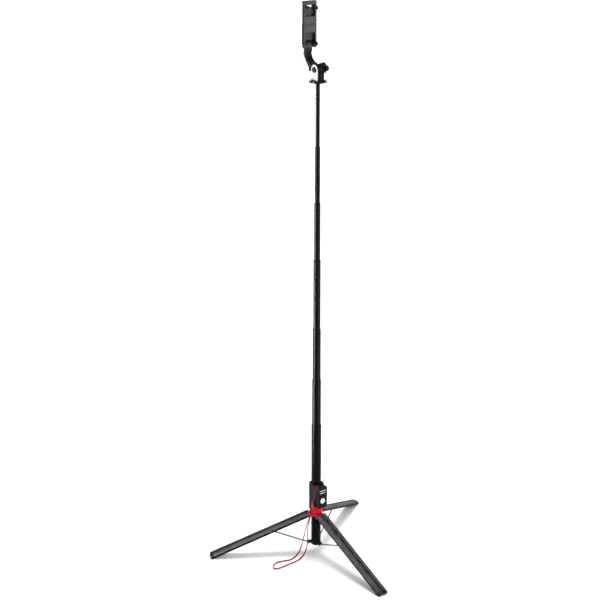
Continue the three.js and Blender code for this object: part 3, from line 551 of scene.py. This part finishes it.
def ribbon():
    """A flat tape on edge where it lies on the floor, turning to hang flat against the string's clip."""
    route = smooth_route(RIBBON_ROUTE, 6)
    half, thin = RIBBON_WIDTH * MM / 2, RIBBON_THICKNESS * MM / 2
    section = [
        (-1, -0.45), (-0.86, -1), (0.86, -1), (1, -0.45), (1, 0.45), (0.86, 1), (-0.86, 1), (-1, 0.45),
    ]
    bm = bmesh.new()
    uv = bm.loops.layers.uv.new("UVMap")
    rings, along = [], [0.0]
    for i, co in enumerate(route):
        tangent = (route[min(i + 1, len(route) - 1)] - route[max(i - 1, 0)]).normalized()
        lift = min(1, max(0, (co.z - 0.006) / 0.03))
        across = Vector((0.35, 0.94, 0)) * lift + Vector((0, 0, 1)) * (1 - lift)
        across = (across - tangent * across.dot(tangent)).normalized()
        normal = tangent.cross(across)
        rings.append([bm.verts.new(co + across * half * x + normal * thin * y) for x, y in section])
        if i:
            along.append(along[-1] + (co - route[i - 1]).length)
    for i, (below, above) in enumerate(zip(rings, rings[1:])):
        for j in range(8):
            k = (j + 1) % 8
            face = bm.faces.new((below[j], below[k], above[k], above[j]))
            for loop, (u, v) in zip(face.loops, ((i, j), (i, j + 1), (i + 1, j + 1), (i + 1, j))):
                loop[uv].uv = (along[u] / (half * 2), v / 8 * 2.5)
    bm.faces.new(rings[0])
    bm.faces.new(reversed(rings[-1]))
    tape = publish("strap_tape", bm, "remote", "strap_red", ["strap_ribbon"], sharp=60,
                   world=Matrix.Identity(4))


# ---- Pole ----------------------------------------------------------------------------------

TUBES = 7
TUBE_WALL = 0.6
FLATS_TOP, FLAT_DEPTH = 150, 0.25
FLAT_AZIMUTHS = (-150, -30, 90)


def tube(index):
    """A drawn tube with a rolled groove under its mouth. The outer one has three flats low down."""
    node = f"inner_tube_{index}" if index else "outer_tube"
    low, high = extent(node)
    radius = (high.x - low.x) / 2
    bore = radius - TUBE_WALL
    bottom, top = low.z, high.z
    profile = [(radius, bottom)]
    if index == 0:
        profile += [(radius, FLATS_TOP - 0.5), (radius, FLATS_TOP)]
    profile += [
        (radius, top - 7.2), (radius - 0.05, top - 6.8), (radius - 0.2, top - 6.4),
        (radius - 0.2, top - 5.6), (radius - 0.05, top - 5.2), (radius, top - 4.8),
        (radius, top - 0.7), (radius - 0.12, top - 0.25), (radius - 0.35, top),
        (bore + 0.1, top), (bore, top - 0.15), (bore, bottom), (radius, bottom),
    ]
    bm = lathe(profile, 72)
    if index == 0:
        for azimuth in FLAT_AZIMUTHS:
            out = Vector((math.cos(math.radians(azimuth)), math.sin(math.radians(azimuth)), 0))
            for vert in bm.verts:
                beyond = vert.co.dot(out) - (radius - FLAT_DEPTH)
                if vert.co.z < FLATS_TOP - 0.2 and beyond > 0 and vert.co.xy.length > bore + 0.1:
                    vert.co -= out * beyond
    publish(f"{node}_look", bm, BODY_OF[node], "tube_black", [node], sharp=28)


def mouth_ring(index):
    """The dark seal in a tube's mouth, round the next tube."""
    node = f"inner_tube_{index}" if index else "outer_tube"
    following = extent(f"inner_tube_{index + 1}")[1].x
    low, high = extent(node)
    top, bore = high.z, high.x - TUBE_WALL
    bm = lathe([
        (following + 0.04, top - 3), (bore - 0.02, top - 3), (bore - 0.02, top + 0.1),
        (bore - 0.12, top + 0.25), (following + 0.08, top + 0.25), (following + 0.04, top - 3),
    ], 48)
    publish(f"mouth_seal_{index}", bm, BODY_OF[node], "dark_plastic", sharp=28)


# ---- Remote --------------------------------------------------------------------------------

def facing_front(x, y, z):
    """A matrix whose z axis points to the front (-Y), at a point on the remote's front."""
    return Matrix.Translation((x, y, z)) @ Matrix.Rotation(math.radians(90), 4, "X")


def remote_button():
    low, high = extent("remote_button")
    middle = (low + high) / 2
    radius = (high.x - low.x) / 2
    depth = high.y - low.y
    bm = lathe([
        (0, 0), (radius, 0), (radius, depth - 0.7), (radius - 0.15, depth - 0.3),
        (radius - 0.5, depth - 0.08), (radius - 0.9, depth - 0.1), (radius - 1.6, depth - 0.28),
        (2, depth - 0.45), (0, depth - 0.5),
    ], 64)
    matrix = TO_ROW @ facing_front(middle.x, high.y, middle.z)
    publish("button_cap", bm, "button", "white", ["remote_button"], world=matrix)
    mark = lathe([
        (0.95, depth - 0.5), (1.5, depth - 0.46), (1.5, depth - 0.36), (0.95, depth - 0.4),
        (0.95, depth - 0.5),
    ], 32)
    stadium(mark, 0.7, 0.22, depth - 0.5, depth - 0.38, Matrix.Identity(4))
    publish("button_mark", mark, "button", "steel", finish=FINISHES["print_grey"], world=matrix)


def remote_trim():
    """A rim round the button's well, and two plain printed bars above it."""
    low, high = extent("remote_front")
    button = sum(extent("remote_button"), Vector()) / 2
    radius = extent("remote_button")[1].x
    front = facing_front(0, low.y, button.z)
    rim = lathe([
        (radius + 0.32, -0.5), (radius + 0.95, -0.5), (radius + 0.95, 0.08), (radius + 0.75, 0.22),
        (radius + 0.45, 0.22), (radius + 0.32, 0.08), (radius + 0.32, -0.5),
    ], 64)
    publish("button_rim", rim, "remote", "dark_plastic", world=TO_ROW @ front)
    bars = bmesh.new()
    for middle, half in ((141.2, 7.6), (136.2, 6.2)):
        stadium(bars, half, 0.65, -0.1, 0.03, facing_front(0, low.y, middle))
    publish("printed_bars", bars, "remote", "white", finish=FINISHES["print_grey"])


# ---- Legs ----------------------------------------------------------------------------------

LEG_AZIMUTHS = (-90, 30, 150)
LEG_SLOPE = math.radians(23)
LEG_PIVOT = Vector((17, 0, 82.405))
LEG_HALF_WIDTH, LEG_EDGE, LEG_CROWN = 11, 2.9, 5.9
LEG_START, COVER_END, LEG_LENGTH = -2.5, 201.5, 208
SLOTS, SLOT_PITCH = 7, 27


def leg_matrix(number):
    """The leg's own frame: x along the leg, away from the hub, and z on its top side."""
    turn = Matrix.Rotation(math.radians(LEG_AZIMUTHS[number - 1]), 4, "Z")
    return turn @ Matrix.Translation(LEG_PIVOT) @ Matrix.Rotation(LEG_SLOPE, 4, "Y")


def crown_height(y):
    rise = LEG_CROWN - LEG_EDGE
    radius = (LEG_HALF_WIDTH ** 2 + rise ** 2) / (2 * rise)
    return LEG_CROWN - radius + math.sqrt(radius ** 2 - y ** 2)


def leg_cover(number):
    """The grip strip: a crowned band each side of a groove, each with a bead along its edge."""
    stops = [2.0, 2.15, 2.5, 4, 5.5, 7, 8.3, 8.6, 8.75, 9.1, 9.25, 9.5, 10.2, 10.7]
    dips = {8.6: 0.1, 8.75: 0.4, 9.1: 0.4, 9.25: 0.1, 2.0: 0.35, 2.15: 0.08}
    right = [(11, 1.8), (11, 2.6), (10.95, 2.85)]
    right += [(y, crown_height(y) - dips.get(y, 0)) for y in reversed(stops)]
    right += [(1.9, 5.3), (1.9, 5.0)]
    left = [(-y, z) for y, z in reversed(right)]
    outline = [*right, *left, (-7.4, 1.8), (-7.4, 3.6), (7.4, 3.6), (7.4, 1.8)]
    bm = bmesh.new()
    ends = ((LEG_START, 0.35), (LEG_START + 0.35, 0.0), (COVER_END - 0.3, 0.0), (COVER_END, 0.25))
    rings = []
    for x, inset in ends:
        shrink = 1 - inset / LEG_HALF_WIDTH
        rings.append([bm.verts.new((x, y * shrink, 3.4 + (z - 3.4) * (1 - inset / 3))) for y, z in outline])
    for low, high in zip(rings, rings[1:]):
        for i in range(len(outline)):
            j = (i + 1) % len(outline)
            bm.faces.new((low[i], low[j], high[j], high[i]))
    bm.faces.new(rings[-1])
    bm.faces.new(reversed(rings[0]))
    publish(f"leg_grip_{number}", bm, f"leg_{number}", "leg_grey", [f"leg_cover_{number}"], sharp=40,
            world=TO_ROW @ leg_matrix(number))


def leg_slots(number):
    """The dark groove along the grip strip, and the slots sunk into it."""
    matrix = leg_matrix(number)
    body = f"leg_{number}"
    slots = bmesh.new()
    for slot in range(SLOTS):
        middle = 18 + slot * SLOT_PITCH
        spot = Matrix.Translation((middle, 0, 0))
        stadium(slots, 5.4, 2.7, 4.9, 5.85, spot, chamfer=0.25)
        for side in (-1, 1):
            spot = Matrix.Translation((middle + SLOT_PITCH / 2, side * 0.9, 0))
            stadium(slots, 4.5, 0.3, 4.9, 5.15, spot, turns=4)
    publish(f"leg_slots_{number}", slots, body, "dark_plastic", world=TO_ROW @ matrix, sharp=50)

    strip = bmesh.new()
    bar(strip, (LEG_START + 0.3, COVER_END - 0.3), (-1.86, 1.86), (4.9, 5.03))
    publish(f"leg_groove_{number}", strip, body, "dark_plastic", world=TO_ROW @ matrix)


def leg_end(number):
    """The end cap, rounded, with a soft oval pad on its face and a seam round its neck."""
    refine(f"leg_cap_{number}", width=0.5, segments=3)
    bm = bmesh.new()
    face = Matrix.Translation((LEG_LENGTH, 0, 1.6)) @ Matrix.Rotation(math.radians(90), 4, "Y")
    stadium(bm, 8.6, 1.9, -0.2, 0.45, face @ Matrix.Rotation(math.radians(90), 4, "Z"), chamfer=0.25)
    publish(f"leg_pad_{number}", bm, f"leg_{number}", "leg_grey", world=TO_ROW @ leg_matrix(number))


# ---- Clamp ---------------------------------------------------------------------------------

CLAMP_TURN = math.radians(-12)
NECK_Y = 30.2
NECK = Matrix.Translation((0, NECK_Y, 0))
CLAMP = NECK @ Matrix.Rotation(CLAMP_TURN, 4, "Z") @ NECK.inverted()
JAW_HINGE_Y, JAW_REACH, JAW_OUTER, JAW_INNER = 22, 23, 8.9, 5.6
JAW_HALF_HEIGHT = 2.1
CLAMP_FRONT_Y = 18.9
WASHER_RING = 13.4


def clamp_side_painted_shade(face):
    """True for every face of the clamp that does not look to the clamp's front; these faces get the dark
    finish as painted shade on the clamp's sides.
    """
    return face.normal.dot(Vector((math.sin(CLAMP_TURN), -math.cos(CLAMP_TURN), 0))) < 0.9


def on_ring(face):
    """True for the washer's ring, which leaves its bright tabs out."""
    middle = face.calc_center_median()
    return math.hypot(middle.x, middle.y - POLE_Y) < WASHER_RING * MM


# On the clamp, the faces off its front are painted dark as shade; the washer's ring takes the dark finish
# too.
DARK_FACES = {"clamp_base": clamp_side_painted_shade, "clamp_slide": clamp_side_painted_shade, "swivel_washer": on_ring}


def jaw_pad(end):
    """A ribbed rubber pad along the inner side of a jaw."""
    name = "upper_jaw" if end > 0 else "lower_jaw"
    low, high = extent(name)
    hinge = (low.z + high.z) / 2
    face = hinge - end * JAW_HALF_HEIGHT
    bend = JAW_HINGE_Y - (JAW_REACH - JAW_OUTER)
    bm = bmesh.new()
    outer, inner = JAW_OUTER - 0.6, JAW_INNER + 0.6
    rings = []
    for radius, lift in ((inner, 0.0), (inner + 0.15, 0.5), (outer - 0.15, 0.5), (outer, 0.0)):
        ring = [(-radius, 17.6)]
        ring += [(radius * math.cos(a), bend + radius * math.sin(a)) for a in
                 (math.pi + math.pi * i / 24 for i in range(25))]
        ring += [(radius, 17.6)]
        rings.append([bm.verts.new((x, y, face - end * (lift - 0.1))) for x, y in ring])
    for below, above in zip(rings, [*rings[1:], rings[0]]):
        for i in range(len(below) - 1):
            bm.faces.new((below[i], below[i + 1], above[i + 1], above[i]))
    for at in (0, -1):
        bm.faces.new([ring[at] for ring in rings])
    publish(f"{name}_pad", bm, name, "dark_plastic", world=TO_ROW @ CLAMP, sharp=30)


def face_pad(name, body, z0, z1):
    """A thin grained rubber pad on the clamp's face, with ribs across it."""
    front = CLAMP_FRONT_Y
    bm = bmesh.new()
    bar(bm, (-10.6, 10.6), (front - 0.45, front + 0.1), (z0, z1), radius=0.2)
    count = int((z1 - z0) // 2.2)
    for i in range(count):
        z = z0 + 1.2 + i * (z1 - z0 - 2.4) / max(1, count - 1)
        bar(bm, (-9.6, 9.6), (front - 0.65, front - 0.3), (z - 0.3, z + 0.3))
    publish(name, bm, body, "face_plastic", world=TO_ROW @ CLAMP, sharp=50)


# ---- Assembly ------------------------------------------------------------------------------

add_camera()
add_stage()

string(crimp())
ribbon()

for index in range(TUBES):
    tube(index)
for index in range(TUBES - 1):
    mouth_ring(index)
remote_button()
remote_trim()
for number in (1, 2, 3):
    leg_cover(number)
    leg_slots(number)
    leg_end(number)
jaw_pad(1)
jaw_pad(-1)
face_pad("clamp_pad_upper", "clamp_upper", 1049.4, 1062)
face_pad("clamp_pad_lower", "clamp", 1034, 1046.6)

MADE = {"strap_string", "strap_ribbon", "strap_crimp", "outer_tube", "remote_button"}
MADE |= {f"inner_tube_{i}" for i in range(1, TUBES)}
MADE |= {f"leg_{kind}_{n}" for kind in ("cover", "cap") for n in (1, 2, 3)}
WIDTHS = {"hub": 0.4, "housing_rear": 0.6, "housing_front": 0.6, "remote_front": 0.7, "remote_back": 0.4}
for node in sorted(set(BODY_OF) - MADE):
    refine(node, width=WIDTHS.get(node, 0.25))
